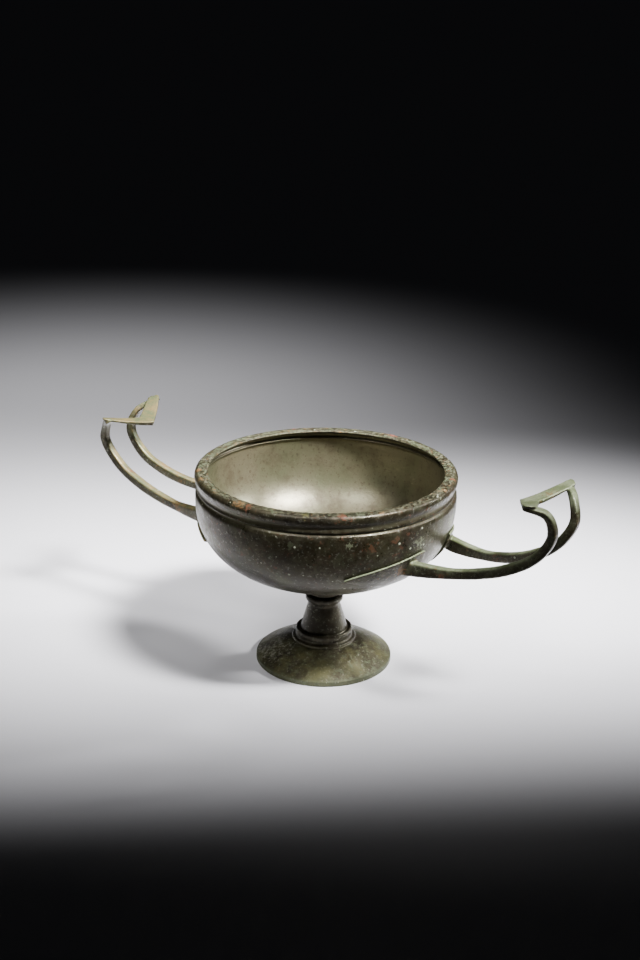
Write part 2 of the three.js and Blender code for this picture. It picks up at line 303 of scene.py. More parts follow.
def blank(name, slices, across, corner):
    """A straight bar, 1 long from x = 0 and 2 by 2 across, its four long edges rounded."""
    bar = new_primitive(bpy.ops.mesh.primitive_cube_add, name, size=2)
    edit(bar)
    bpy.ops.mesh.select_all(action="SELECT")
    bpy.ops.transform.translate(value=(1, 0, 0))
    bpy.ops.transform.resize(value=(0.5, 1, 1), center_override=(0, 0, 0))
    bpy.ops.mesh.select_all(action="DESELECT")
    leave_edit()
    for edge in bar.data.edges:
        ends = [bar.data.vertices[i].co for i in edge.vertices]
        edge.select = abs(ends[0].x - ends[1].x) > 0.5
    edit(bar)
    bpy.ops.mesh.select_mode(type="EDGE")
    bpy.ops.mesh.bevel(offset=corner, segments=4, affect="EDGES")
    for axis, count, low, high in ((0, slices, 0, 1), (1, across, -1, 1)):
        for i in range(1, count):
            at = low + (high - low) * i / count
            bpy.ops.mesh.select_all(action="SELECT")
            place = [0.0, 0.0, 0.0]
            place[axis] = at
            normal = [0.0, 0.0, 0.0]
            normal[axis] = 1.0
            bpy.ops.mesh.bisect(plane_co=place, plane_no=normal)
    bpy.ops.mesh.select_mode(type="VERT")
    leave_edit()
    return bar


def worn_surface(piece, name, size, strength, group="", depth=2):
    """Presses a cloudy unevenness into a piece, never outward."""
    texture = bpy.data.textures.new(name, "CLOUDS")
    texture.noise_scale = size
    texture.noise_depth = depth
    apply_modifier(
        piece, "DISPLACE", name, texture=texture, strength=strength, mid_level=1.0,
        texture_coords="LOCAL", vertex_group=group,
    )
    bpy.data.textures.remove(texture)


def finished(piece, node, material):
    """Sets a piece's finish, shades it smooth, hangs it under the root body and hides the CAD part
    that it stands for.
    """
    piece.data.materials.clear()
    piece.data.materials.append(material)
    edit(piece)
    bpy.ops.mesh.select_all(action="SELECT")
    bpy.ops.mesh.faces_shade_smooth()
    leave_edit()
    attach(piece, "root")
    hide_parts(node)


# ---- material helpers ---------------------------------------------------------------------


# How much noise and nearness together a place needs before a stain covers it.
STAIN_EDGE = 1.32


class Shade:
    """Builds one procedural bronze, with its coordinates centred on the foot."""

    def __init__(self, name, roughness, metallic):
        self.material = bpy.data.materials.new(name)
        self.material.use_nodes = True
        self.tree = self.material.node_tree
        self.tree.nodes.clear()
        self.shader = self.node("ShaderNodeBsdfPrincipled")
        output = self.node("ShaderNodeOutputMaterial")
        self.link(self.shader.outputs[0], output.inputs[0])
        place = self.node("ShaderNodeTexCoord")
        centred = self.node("ShaderNodeMapping")
        centred.inputs["Location"].default_value = -AXIS
        self.link(place.outputs["Object"], centred.inputs["Vector"])
        self.at = centred.outputs[0]
        parts = self.node("ShaderNodeSeparateXYZ")
        self.link(self.at, parts.inputs[0])
        self.x, self.y, self.z = parts.outputs
        self.colour = None
        self.rough = self.value(roughness)
        self.metal = self.value(metallic)
        self.relief = self.value(0.0)

    def node(self, kind):
        return self.tree.nodes.new(kind)

    def link(self, source, target):
        self.tree.links.new(source, target)

    def value(self, number):
        node = self.node("ShaderNodeValue")
        node.outputs[0].default_value = number
        return node.outputs[0]

    def feed(self, source, target):
        """Links a socket, or sets a plain number or colour."""
        if isinstance(source, (int, float)):
            target.default_value = source
        elif isinstance(source, bpy.types.NodeSocket):
            self.link(source, target)
        else:
            target.default_value = (*source, 1.0)

    def math(self, operation, a, b=0.0):
        node = self.node("ShaderNodeMath")
        node.operation = operation
        self.feed(a, node.inputs[0])
        self.feed(b, node.inputs[1])
        return node.outputs[0]

    def times(self, a, b):
        return self.math("MULTIPLY", a, b)

    def noise(self, scale, detail=5.0, rough=0.6, twist=0.0, offset=0.0):
        node = self.node("ShaderNodeTexNoise")
        node.inputs["Scale"].default_value = scale
        node.inputs["Detail"].default_value = detail
        node.inputs["Roughness"].default_value = rough
        node.inputs["Distortion"].default_value = twist
        if offset:
            moved = self.node("ShaderNodeMapping")
            moved.inputs["Location"].default_value = (offset, offset * 0.7, offset * 1.3)
            self.link(self.at, moved.inputs["Vector"])
            self.link(moved.outputs[0], node.inputs["Vector"])
        else:
            self.link(self.at, node.inputs["Vector"])
        return node.outputs["Fac"]

    def between(self, source, low, high):
        """0 below `low`, 1 above `high`, smooth between; the other way if high is less."""
        node = self.node("ShaderNodeMapRange")
        node.interpolation_type = "SMOOTHSTEP"
        self.feed(source, node.inputs["Value"])
        if low <= high:
            limits = (low, high, 0.0, 1.0)
        else:
            limits = (high, low, 1.0, 0.0)
        for key, limit in zip(("From Min", "From Max", "To Min", "To Max"), limits):
            node.inputs[key].default_value = limit
        return node.outputs["Result"]

    def mix(self, share, first, second, blend="MIX"):
        node = self.node("ShaderNodeMix")
        node.data_type = "RGBA"
        node.blend_type = blend
        self.feed(share, node.inputs[0])
        self.feed(first, node.inputs[6])
        self.feed(second, node.inputs[7])
        return node.outputs[2]

    def mix_number(self, share, first, second):
        node = self.node("ShaderNodeMix")
        node.data_type = "FLOAT"
        self.feed(share, node.inputs[0])
        self.feed(first, node.inputs[2])
        self.feed(second, node.inputs[3])
        return node.outputs[0]

    def cover(self, share, paint, rough=None, metal=None, relief=0.0):
        """Lays a film or crust over the metal where `share` is high."""
        self.colour = self.mix(share, self.colour, paint)
        if rough is not None:
            self.rough = self.mix_number(share, self.rough, rough)
        if metal is not None:
            self.metal = self.mix_number(share, self.metal, metal)
        if relief:
            raised = self.times(share, relief)
            self.relief = self.math("ADD", self.relief, raised)

    def dots(self, scale, size, share, offset=0.0):
        """Scattered dots: `share` of the cells hold one, each up to `size` of a cell wide."""
        node = self.node("ShaderNodeTexVoronoi")
        node.inputs["Scale"].default_value = scale
        moved = self.node("ShaderNodeMapping")
        moved.inputs["Location"].default_value = (offset, offset, -offset)
        self.link(self.at, moved.inputs["Vector"])
        self.link(moved.outputs[0], node.inputs["Vector"])
        pick = self.node("ShaderNodeSeparateColor")
        self.link(node.outputs["Color"], pick.inputs[0])
        chosen = self.between(pick.outputs[0], 1 - share, 1 - share + 0.01)
        wide = self.times(pick.outputs[1], size)
        inside = self.math("SUBTRACT", wide, node.outputs["Distance"])
        round_dot = self.between(inside, 0.0, size * 0.4)
        return self.times(chosen, round_dot)

    def around(self, degrees, height, size, radius=RIM_RADIUS, solid=0.4):
        """A ragged stain around one place on the cup: direction, height and size."""
        turn = math.radians(degrees)
        centre = (radius * math.cos(turn), radius * math.sin(turn), height)
        gap = self.node("ShaderNodeVectorMath")
        gap.operation = "DISTANCE"
        self.link(self.at, gap.inputs[0])
        gap.inputs[1].default_value = centre
        near = self.math("DIVIDE", gap.outputs["Value"], size)
        near = self.math("SUBTRACT", 1.0, near)
        patchy = self.noise(0.9 / size, 5.0, 0.7, offset=degrees * 0.01)
        crumbs = self.noise(700, 3.0, 0.6, offset=3.9)
        filled = self.math("ADD", patchy, self.times(crumbs, 1.3))
        filled = self.math("ADD", filled, self.times(near, solid))
        return self.between(filled, STAIN_EDGE, STAIN_EDGE + 0.1)

    def finish(self, bump_strength, bump_height):
        bump = self.node("ShaderNodeBump")
        bump.inputs["Strength"].default_value = bump_strength
        bump.inputs["Distance"].default_value = bump_height
        self.link(self.relief, bump.inputs["Height"])
        self.link(bump.outputs[0], self.shader.inputs["Normal"])
        self.feed(self.colour, self.shader.inputs["Base Color"])
        self.feed(self.rough, self.shader.inputs["Roughness"])
        self.feed(self.metal, self.shader.inputs["Metallic"])
        return self.material


def bare_bronze(shade, finish, warm=0.5):
    """The darkened metal under everything: brown and olive clouds with a fine grain."""
    clouds = shade.noise(32, 6, 0.6)
    fine = shade.noise(240, 9, 0.72)
    grain = shade.noise(1300, 4, 0.65)
    shade.colour = shade.mix(shade.between(clouds, 0.36, 0.66), finish.bronze_dark,
                             finish.bronze_olive)
    brown = shade.noise(60, 8, 0.68, offset=7.0)
    shade.cover(shade.times(shade.between(brown, 0.46, 0.68), warm),
                finish.bronze_warm)
    light = shade.between(fine, 0.42, 0.75)
    shade.colour = shade.mix(shade.times(light, 0.35), shade.colour, finish.inside)
    crumbs = shade.noise(650, 3, 0.6, offset=4.7)
    shade.colour = shade.mix(shade.times(shade.between(crumbs, 0.57, 0.7), 0.5),
                             shade.colour, finish.pale_grey)
    shade.colour = shade.mix(shade.times(shade.between(crumbs, 0.45, 0.34), 0.6),
                             shade.colour, finish.brown)
    uneven = shade.math("SUBTRACT", fine, 0.5)
    shade.rough = shade.math("ADD", shade.rough, shade.times(uneven, 0.8))
    shade.relief = shade.math("ADD", shade.times(fine, 0.6), shade.times(grain, 0.3))
    shade.relief = shade.math("ADD", shade.relief, shade.times(crumbs, 0.5))
    return clouds


# Stains on the rim: direction in degrees, height and size in millimetres, colour's name.
RIM_STAINS = (
    (216, 110.5, 4.2, "ochre"), (228, 110.5, 2.4, "ochre"), (262, 110, 4.2, "ochre"),
    (268, 109, 3.5, "rust"), (280.6, 110, 2.4, "green"), (294, 109.6, 2.8, "yellow_green"),
    (309, 109.5, 4.2, "rust"), (138, 110.5, 2.8, "red"), (88.6, 110.5, 3.5, "red"),
    (350.8, 106, 2.8, "ochre"), (358, 109.5, 2.8, "speck"), (6, 110.5, 3.5, "ochre"),
    (20, 110.5, 2.8, "rust"), (338, 106, 2.8, "rust"), (326, 109.5, 2.1, "ochre"),
)
# Stains on the belly of the bowl, in the same way.
BELLY_STAINS = (
    (321, 93, 3.8, "rust"), (332, 94.5, 3, "rust"), (300, 88, 4.5, "bronze_warm"),
    (345, 90, 4.5, "sage"), (312, 95, 3, "sage"), (288, 94, 3, "green"), (12, 90, 6, "sage"),
)


def stain(shade, finish, stains, strength, radius, rough=0.6):
    """Lays a list of stains round the cup at one distance from its axis."""
    for degrees, height, size, paint in stains:
        place = shade.around(degrees, mm(height), mm(size), radius=radius)
        shade.cover(shade.times(place, strength), getattr(finish, paint),
                    rough=rough, metal=0.1, relief=0.25)


def bowl_bronze():
    """Dark brown bronze outside, a smooth grey-green film inside, a crusty rim."""
    finish = settings("finish")
    bowl = settings("bowl")
    shade = Shade("bowl_bronze", 0.36, 0.6)
    clouds = bare_bronze(shade, finish)
    patches = shade.noise(70, 9, 0.68, offset=0.3)
    shade.cover(shade.times(shade.between(patches, 0.5, 0.7), 0.35),
                finish.green, rough=0.55, metal=0.35)
    blotches = shade.noise(330, 4, 0.65, offset=1.1)
    shade.cover(shade.times(shade.between(blotches, 0.6, 0.7), 0.5),
                finish.rust, rough=0.6, metal=0.25, relief=0.2)
    stain(shade, finish, BELLY_STAINS, 0.45, bowl.belly_radius)

    radius = shade.math("SQRT", shade.math("ADD", shade.times(shade.x, shade.x),
                                           shade.times(shade.y, shade.y)))
    # The belly's own curve: 1 on the outer skin, inner_skin on the inner one.
    drop = shade.math("DIVIDE", shade.math("SUBTRACT", bowl.shoulder, shade.z),
                      bowl.belly_depth)
    drop = shade.math("POWER", shade.math("MAXIMUM", drop, 0.0), bowl.belly_power)
    reach = shade.math("POWER", shade.math("DIVIDE", radius, bowl.belly_radius),
                       bowl.belly_power)
    inner_skin = (1 - bowl.wall / bowl.belly_radius) ** bowl.belly_power
    depth = 1 - inner_skin
    skin = shade.math("ADD", reach, drop)
    within = shade.between(skin, 1 - depth * 0.35, 1 - depth * 0.6)
    above_floor = shade.between(shade.z, mm(50.5), mm(51.5))
    under_rim = shade.between(shade.z, mm(108.2), mm(107))
    inside = shade.times(shade.times(within, above_floor), under_rim)
    outer_skin = shade.math("SUBTRACT", 1.0, inside)

    film = shade.mix(shade.between(clouds, 0.35, 0.7), finish.inside, finish.inside_green)
    cloudy = shade.noise(95, 9, 0.7, offset=2.6)
    film = shade.mix(shade.times(shade.between(cloudy, 0.45, 0.72), 0.6), film,
                     finish.bronze_warm)
    shade.cover(shade.times(inside, 0.9), film, rough=0.34, metal=0.5)
    pool = shade.around(340, mm(54), mm(17), radius=mm(12))
    mottle = shade.between(shade.noise(480, 4, 0.65, offset=3.1), 0.46, 0.6)
    pool = shade.times(shade.times(pool, inside), mottle)
    shade.cover(shade.times(pool, 0.7), finish.brown, rough=0.5, metal=0.2)
    brown_grain = shade.between(shade.noise(520, 4, 0.65, offset=7.7), 0.56, 0.66)
    shade.cover(shade.times(shade.times(brown_grain, inside), 0.5),
                finish.bronze_warm, rough=0.45)
    film_specks = shade.times(shade.dots(300, 0.3, 0.05, 5.0), inside)
    shade.cover(shade.times(film_specks, 0.6), finish.speck, rough=0.6, metal=0.1)

    rim_top = shade.between(shade.z, CUP_TOP - mm(1.9), CUP_TOP - mm(0.7))
    band = shade.between(radius, bowl.rim_radius - mm(0.9), bowl.rim_radius - mm(3))
    rim_top = shade.times(rim_top, band)
    crust = shade.noise(600, 4, 0.65, offset=2.0)
    bed = shade.mix(shade.between(shade.noise(120, 8, 0.7, offset=6.0), 0.4, 0.6),
                    finish.crust, finish.green)
    shade.cover(shade.times(rim_top, shade.between(crust, 0.46, 0.58)),
                bed, rough=0.7, metal=0.1, relief=0.7)
    sandy = shade.noise(430, 4, 0.65, offset=4.0)
    shade.cover(shade.times(rim_top, shade.between(sandy, 0.6, 0.68)),
                finish.ochre, rough=0.75, metal=0.05, relief=0.5)
    dark = shade.noise(520, 4, 0.65, offset=8.0)
    shade.cover(shade.times(rim_top, shade.between(dark, 0.56, 0.64)),
                finish.bronze_dark, rough=0.6, metal=0.3, relief=-0.6)
    stain(shade, finish, RIM_STAINS, 0.75, bowl.rim_radius - mm(2.5))

    brown_spots = shade.dots(260, 0.45, 0.16, 9.0)
    shade.cover(shade.times(shade.times(brown_spots, outer_skin), 0.6),
                finish.brown, rough=0.6, metal=0.2, relief=0.2)
    for scale, size, share, offset in ((430, 0.36, 0.10, 0.2), (210, 0.2, 0.07, 0.7)):
        specks = shade.times(shade.dots(scale, size, share, offset), outer_skin)
        shade.cover(specks, finish.speck, rough=0.7, metal=0.1, relief=0.5)
    return shade.finish(0.6, mm(0.22))


def foot_bronze():
    """Dark bronze, with yellow-green and grey mottling on the disc; the grey patch on the left is
    partly grey film and partly a painted highlight.
    """
    finish = settings("finish")
    shade = Shade("foot_bronze", 0.42, 0.5)
    bare_bronze(shade, finish, 0.3)
    on_disc = shade.between(shade.z, mm(13.8), mm(11.5))
    mottle = shade.noise(75, 10, 0.72, 0.15, offset=0.6)
    mottled = shade.times(shade.between(mottle, 0.42, 0.66), 0.6)
    shade.cover(shade.times(on_disc, mottled), finish.yellow_green, rough=0.55, metal=0.25,
                relief=0.2)
    pale = shade.noise(420, 4, 0.65, offset=3.3)
    pale_spots = shade.times(shade.between(pale, 0.52, 0.64), 0.6)
    shade.cover(shade.times(on_disc, pale_spots), finish.green, rough=0.6, metal=0.2, relief=0.3)
    # A pale grey patch on the disc's left: partly grey film, partly a painted highlight that
    # lightens the side lying in the bowl's shadow.
    grey = shade.around(228, mm(6), mm(15), radius=mm(28))
    cloudy = shade.between(shade.noise(500, 4, 0.65, offset=6.1), 0.42, 0.58)
    shade.cover(shade.times(shade.times(grey, cloudy), 0.7),
                finish.pale_grey, rough=0.55, metal=0.2, relief=0.3)
    edge = shade.between(shade.z, mm(3.6), mm(2.6))
    shade.cover(shade.times(edge, 0.4), finish.green, rough=0.5, metal=0.3)
    shade.cover(shade.dots(380, 0.3, 0.06, 1.3), finish.speck, rough=0.7, metal=0.1, relief=0.4)
    return shade.finish(0.6, mm(0.22))


def handle_bronze(name, film, second, film_share, stains):
    """The bronze of one handle: dark underneath, its own film of patina on what faces up, which is
    partly real patina and partly painted light from above.
    """
    finish = settings("finish")
    shade = Shade(name, 0.36, 0.5)
    bare_bronze(shade, finish, 0.5)
    # The pale film on what faces up is partly patina and partly painted light from above: it makes
    # the tops lighter than the sides and undersides.
    facing = shade.node("ShaderNodeTexCoord")
    parts = shade.node("ShaderNodeSeparateXYZ")
    shade.link(facing.outputs["Normal"], parts.inputs[0])
    veil = shade.noise(80, 9, 0.7, offset=0.9)
    lifted = shade.math("ADD", parts.outputs[2], shade.times(veil, 1.2))
    upward = shade.between(lifted, 0.55, 1.25)
    top_film_and_painted_light = shade.mix(shade.between(shade.noise(120, 9, 0.7, offset=2.2), 0.4, 0.62), film, second)
    shade.cover(shade.times(upward, film_share), top_film_and_painted_light, rough=0.46, metal=0.25,
                relief=0.2)
    mottle = shade.noise(600, 4, 0.65, offset=4.4)
    shade.cover(shade.times(shade.between(mottle, 0.54, 0.64), 0.55),
                finish.green, rough=0.55, metal=0.25, relief=0.3)
    rusty = shade.noise(400, 4, 0.65, offset=5.0)
    shade.cover(shade.times(shade.between(rusty, 0.61, 0.7), 0.6),
                finish.ochre, rough=0.55, metal=0.2, relief=0.3)
    for x, y, z, size, paint in stains:
        direction = math.degrees(math.atan2(y, x))
        place = shade.around(direction, mm(z), mm(size), radius=mm(math.hypot(x, y)))
        shade.cover(shade.times(place, 0.75), getattr(finish, paint), rough=0.6,
                    metal=0.1, relief=0.2)
    shade.cover(shade.dots(420, 0.33, 0.08, 0.4), finish.speck, rough=0.7, metal=0.1, relief=0.5)
    return shade.finish(0.6, mm(0.2))


# ---- bowl ---------------------------------------------------------------------------------


def skin_point(bowl, inset, turn):
    """A point of the belly's skin: turn 0 at the shoulder, a quarter turn at the bottom."""
    power = 2 / bowl.belly_power
    reach = (bowl.belly_radius - inset) * max(0.0, math.cos(turn)) ** power
    drop = (bowl.belly_depth - inset) * math.sin(turn) ** power
    return reach, bowl.shoulder - drop


def skin_radius(bowl, z):
    """Outer radius of the belly at a height."""
    drop = max(0.0, bowl.shoulder - z) / bowl.belly_depth
    return bowl.belly_radius * (1 - drop ** bowl.belly_power) ** (1 / bowl.belly_power)


def draw_rim(outline, bowl):
    """Adds the rim, from the inner wall over the top and down to the outer shoulder."""
    top, radius = CUP_TOP, bowl.rim_radius
    inside = radius - bowl.rim_band
    lip = top - bowl.rim_height
    wall = bowl.belly_radius - bowl.wall
    outline.line(wall - mm(0.6), lip + mm(2.3), steps=4)
    outline.line(wall - mm(2), lip + mm(3.5), steps=3)
    outline.line(wall - mm(0.8), lip + mm(4.4), steps=3)
    outline.curve((wall - mm(0.7), top - mm(2.2)), (inside + mm(1), top - mm(2.1)))
    outline.curve((inside - mm(0.4), top - mm(0.9)), (inside + mm(1.4), top - mm(0.35)))
    outline.curve((inside + mm(3), top), (radius - mm(3), top))
    outline.curve((radius - mm(0.4), top - mm(0.1)), (radius, top - mm(2.9)))
    outline.curve((radius, top - mm(4.2)), (radius - mm(0.5), top - mm(5.2)))
    outline.curve((radius - mm(2.1), lip + mm(2.4)), (radius - mm(1), lip + mm(0.2)))
    outline.line(radius - mm(1.15), lip - mm(0.2), steps=2)
    outline.line(radius - bowl.groove - mm(0.3), lip - mm(0.5), steps=2)
    outline.line(radius - bowl.groove - mm(0.2), lip - mm(1.1), steps=2)
    outline.line(bowl.belly_radius - mm(0.15), lip - mm(2.2), steps=2)


class KYLIX_OT_bowl(bpy.types.Operator):
    """Model the bowl with its moulded rim and the boss under it"""

    bl_idname = "kylix.bowl"
    bl_label = "Bowl"
    bl_options = {"REGISTER", "UNDO"}

    def execute(self, context):
        bowl = settings("bowl")
        steps = 64
        quarter = math.pi / 2
        outline = Outline((0.0, skin_point(bowl, bowl.wall, quarter)[1]), 9)
        for i in range(1, steps + 1):
            outline.points.append(skin_point(bowl, bowl.wall, quarter * (1 - i / steps)))
        draw_rim(outline, bowl)
        boss = bowl.boss_radius
        end = math.acos((boss * 1.35 / bowl.belly_radius) ** (bowl.belly_power / 2))
        for i in range(steps + 1):
            outline.points.append(skin_point(bowl, 0.0, end * i / steps))
        neck = outline.points[-1][1] - mm(3)
        outline.curve((boss, neck + mm(2.6)), (boss, neck))
        outline.line(boss, FOOT_TOP + mm(0.35), steps=10)
        outline.line(0.0, FOOT_TOP + mm(0.35), steps=4)
        piece = spun("cup_bowl", outline.points, 360)
        rim = piece.vertex_groups.new(name="rim")
        for vertex in piece.data.vertices:
            on_rim = (vertex.co.z - (CUP_TOP - bowl.rim_height)) / mm(5)
            rim.add([vertex.index], min(1.0, max(0.0, on_rim)), "REPLACE")
        worn_surface(piece, "hammering", 0.03, mm(0.15), depth=1)
        worn_surface(piece, "crust", 0.0022, mm(0.3), group="rim")
        finished(piece, "bowl", bowl_bronze())
        return {"FINISHED"}


# ---- foot ---------------------------------------------------------------------------------


class KYLIX_OT_foot(bpy.types.Operator):
    """Model the collar, stem, rolled ring and spreading disc"""

    bl_idname = "kylix.foot"
    bl_label = "Foot"
    bl_options = {"REGISTER", "UNDO"}

    def execute(self, context):
        f = settings("foot")
        boss = settings("bowl").boss_radius
        rest = f.disc - f.land
        half = mm(0.5)
        outline = Outline((0.0, FOOT_TOP), 12)
        outline.line(boss + mm(0.2), FOOT_TOP, steps=6)
        outline.curve((f.collar, FOOT_TOP - mm(0.3)), (f.collar, f.collar_height))
        low = (f.waist + mm(0.6), f.collar_height - mm(2))
        outline.curve((f.collar, f.collar_height - mm(1.2)), low)
        outline.curve((f.waist, f.waist_height + mm(1)), (f.waist, f.waist_height))
        outline.line(f.stem, f.stem_height, steps=24)
        outline.line(f.stem + mm(0.3), f.stem_height - mm(0.4), steps=2)
        outline.line(f.ring - mm(1.3), f.ring_height + mm(1.9), steps=3)
        outline.curve((f.ring, f.ring_height + mm(1.7)), (f.ring, f.ring_height))
        low = (f.ring - mm(0.3), f.ring_height - mm(1.9))
        outline.curve((f.ring, f.ring_height - mm(1.3)), low)
        outline.line(f.ring - mm(0.1), f.fillet_height + mm(0.9), steps=3)
        outline.line(f.fillet - mm(0.4), f.fillet_height + half, steps=3)
        outline.line(f.fillet, f.fillet_height, steps=2)
        outline.line(f.fillet - mm(0.1), f.fillet_height - mm(0.7), steps=2)
        start = outline.points[-1]
        swell = (f.fillet + (f.disc - f.fillet) * 0.52, f.edge + mm(5.7))
        outline.points += curved(start, swell, (f.disc - mm(0.2), f.edge), 48)
        outline.curve((f.disc + mm(0.1), f.edge - mm(0.1)), (f.disc + mm(0.1), f.edge - mm(0.8)))
        outline.line(f.disc, mm(0.3), steps=4)
        outline.line(f.disc - mm(0.3), 0.0, steps=2)
        outline.line(rest, 0.0, steps=4)
        start = outline.points[-1]
        outline.points += curved(start, (rest * 0.5, f.hollow * 0.62),
                                 (f.stem * 0.7, f.hollow - mm(1)), 24)
        outline.curve((f.stem * 0.35, f.hollow), (0.0, f.hollow))
        piece = spun("cup_foot", outline.points, 288)
        above = piece.vertex_groups.new(name="above_table")
        for vertex in piece.data.vertices:
            lift = (vertex.co.z - mm(0.4)) / mm(1.2)
            above.add([vertex.index], min(1.0, max(0.0, lift)), "REPLACE")
        worn_surface(piece, "uneven", 0.014, mm(0.25), group="above_table", depth=1)
        worn_surface(piece, "pitting", 0.0016, mm(0.12), group="above_table")
        finished(piece, "foot", foot_bronze())
        return {"FINISHED"}


# ---- handles ------------------------------------------------------------------------------

# Centre line of one bar, from its root on the bowl to its end under the thumb-plate:
# out from the cup's axis, to the side, up; in millimetres.
BAR_LINE = (
    (58, 24, 75.6), (62.4, 22.3, 75), (79.7, 17.9, 75.4), (97.1, 14.4, 77.6), (114.2, 12.2, 82.9),
    (129.3, 11.2, 92.1), (137.9, 11.9, 105.5), (135.7, 14.6, 116), (127.4, 24.2, 121.4),
)
# Corners of one wing of the thumb-plate, in millimetres.
PLATE_TIP = (113.4, 0, 116.5)
PLATE_NOTCH = (124, 0, 117.8)
PLATE_INNER = (127.7, 25.4, 123.3)
PLATE_OUTER = (133.2, 20.6, 122.3)
PLATE_SWEEP = 1.35
WING_END = mm(1.3)

# Stains on the handles, and one painted highlight: x, y, z and size in millimetres, colour's name.
GREEN_HANDLE_STAINS = (
    (124, 8, 119, 5, "ochre"), (80, -19, 74, 5, "rust"), (98, 15, 78, 6, "rust"),
    # The whitish-green spot at 76, -19, 77 on the near bar's flared root is a painted highlight.
    (62, -26, 75, 5, "ochre"), (76, -19, 77, 2.5, "speck"), (112, -12, 81, 4, "rust"),
)
BROWN_HANDLE_STAINS = (
    (-104, 14, 80, 7, "ochre"), (-92, 15, 78, 6, "rust"), (-118, 12, 85, 6, "ochre"),
    (-120, -12, 88, 5, "rust"), (-84, -17, 75, 5, "ochre"), (-122, -10, 92, 2, "speck"),
)
BEND_PIVOT = Vector((0.068, 0.0, 0.072))
PUSHED = (mm(108), mm(119))
BENDS = {
    1: {"dip": -1.81, "swing": -2.29, "twist": -2.03, "push_in": 0.0, "push_up": 0.0, "lift": 0.0},
    -1: {"dip": 1.76, "swing": -2.4, "twist": 0.83, "push_in": mm(1.7), "push_up": mm(0.9),
         "lift": mm(2)},
}


def smooth_step(value, low, high):
    """0 below `low`, 1 above `high`, smooth between."""
    t = min(1.0, max(0.0, (value - low) / (high - low)))
    return t * t * (3 - 2 * t)


def bent(point, side):
    """Where the bent handle has a point of the straight one, on its own side of the cup."""
    bend = BENDS[side]
    push = smooth_step(point.z, *PUSHED)
    moved = point - BEND_PIVOT + Vector((-bend["push_in"], 0, bend["push_up"])) * push
    for key, axis in (("twist", "X"), ("dip", "Y"), ("swing", "Z")):
        moved = Matrix.Rotation(math.radians(bend[key]), 3, axis) @ moved
    moved += BEND_PIVOT
    return Vector((moved.x * side, moved.y, moved.z)) + AXIS


class CentreLine:
    """A smooth line through points, read by its share of the whole length."""

    def __init__(self, points, fineness=24):
        ends = [2 * points[0] - points[1], *points, 2 * points[-1] - points[-2]]
        self.line = [points[0]]
        for p0, p1, p2, p3 in zip(ends, ends[1:], ends[2:], ends[3:]):
            knots = [0.0]
            for a, b in ((p0, p1), (p1, p2), (p2, p3)):
                knots.append(knots[-1] + (b - a).length ** 0.5)
            for i in range(1, fineness + 1):
                t = knots[1] + (knots[2] - knots[1]) * i / fineness
                self.line.append(self.blend(t, knots, (p0, p1, p2, p3)))
        self.reach = [0.0]
        for a, b in zip(self.line, self.line[1:]):
            self.reach.append(self.reach[-1] + (b - a).length)

    @staticmethod
    def blend(t, k, p):
        """The centripetal curve through p[1] and p[2]."""
        row = list(p)
        for level in (1, 2, 3):
            following = []
            for i in range(len(row) - 1):
                low, high = (k[i], k[i + level]) if level < 3 else (k[1], k[2])
                following.append(row[i].lerp(row[i + 1], (t - low) / (high - low)))
            row = following
        return row[0]

    def at(self, share):
        """Place and direction at a share of the length."""
        goal = share * self.reach[-1]
        i = 1
        while i < len(self.reach) - 1 and self.reach[i] < goal:
            i += 1
        a, b = self.line[i - 1], self.line[i]
        part = (goal - self.reach[i - 1]) / (self.reach[i] - self.reach[i - 1])
        before = self.line[max(0, i - 2)]
        after = self.line[min(len(self.line) - 1, i + 1)]
        return a.lerp(b, part), (after - before).normalized()


def make_bar(flank, side):
    """One bar: a straight blank, tapered and bent along its centre line."""
    sizes = settings("handles")
    line = CentreLine([Vector((x, y * flank, z)) * MM for x, y, z in BAR_LINE])
    stations = {}

    def rule(point):
        share = round(point.x, 5)
        if share not in stations:
            centre, along = line.at(share)
            sideways = (Vector((0, 1, 0)) - along * along.y).normalized()
            flare = max(0.0, 1 - share / 0.28) ** 1.5
            curl = smooth_step(share, 0.45, 0.75)
            taper = max(0.0, (share - 0.8) / 0.2)
            tall = sizes.bar_height + mm(-0.2 * curl + 4.2 * flare - 0.5 * taper)
            wide = sizes.bar_width + mm(0.4 * curl + 2.2 * flare + 0.8 * taper)
            centre = centre + Vector((0, 0, mm(1.3 * flare)))
            stations[share] = (centre, sideways * wide, along.cross(sideways) * tall)
        centre, sideways, upward = stations[share]
        return bent(centre + sideways * point.y + upward * point.z, side)

    bar = blank("bar", 110, 2, 0.55)
    reshaped(bar, rule)
    return bar


def make_plate(side):
    """The forked thumb-plate: a straight blank bent into two rising wings."""
    sizes = settings("handles")
    tip, notch, inner, outer = (
        Vector(p) * MM for p in (PLATE_TIP, PLATE_NOTCH, PLATE_INNER, PLATE_OUTER)
    )
    wing = (inner + outer - tip - notch).normalized()
    full = 0.9

    def rule(point):
        signed = 2 * point.x - 1
        share = min(1.0, abs(signed) / full)
        beyond = max(0.0, abs(signed) - full) / (1 - full)
        sign = math.copysign(1.0, signed)
        rise = share ** PLATE_SWEEP
        bowl_side = Vector((tip.x + (inner.x - tip.x) * share, inner.y * share * sign,
                            tip.z + (inner.z - tip.z) * rise))
        far_side = Vector((notch.x + (outer.x - notch.x) * share, outer.y * share * sign,
                           notch.z + (outer.z - notch.z) * rise))
        across = far_side - bowl_side
        half = across.length / 2 * (1 - 0.45 * beyond ** 2)
        across.normalize()
        upward = (Vector((0, 0, 1)) - across * across.z).normalized()
        thick = (sizes.plate_middle + (sizes.plate_wing - sizes.plate_middle) * share) / 2
        centre = (bowl_side + far_side) / 2 - upward * thick
        centre += Vector((wing.x, wing.y * sign, wing.z)) * (WING_END * beyond)
        return bent(centre + across * (half * point.y) + upward * (thick * point.z), side)

    plate = blank("plate", 60, 24, 0.3)
    reshaped(plate, rule)
    return plate


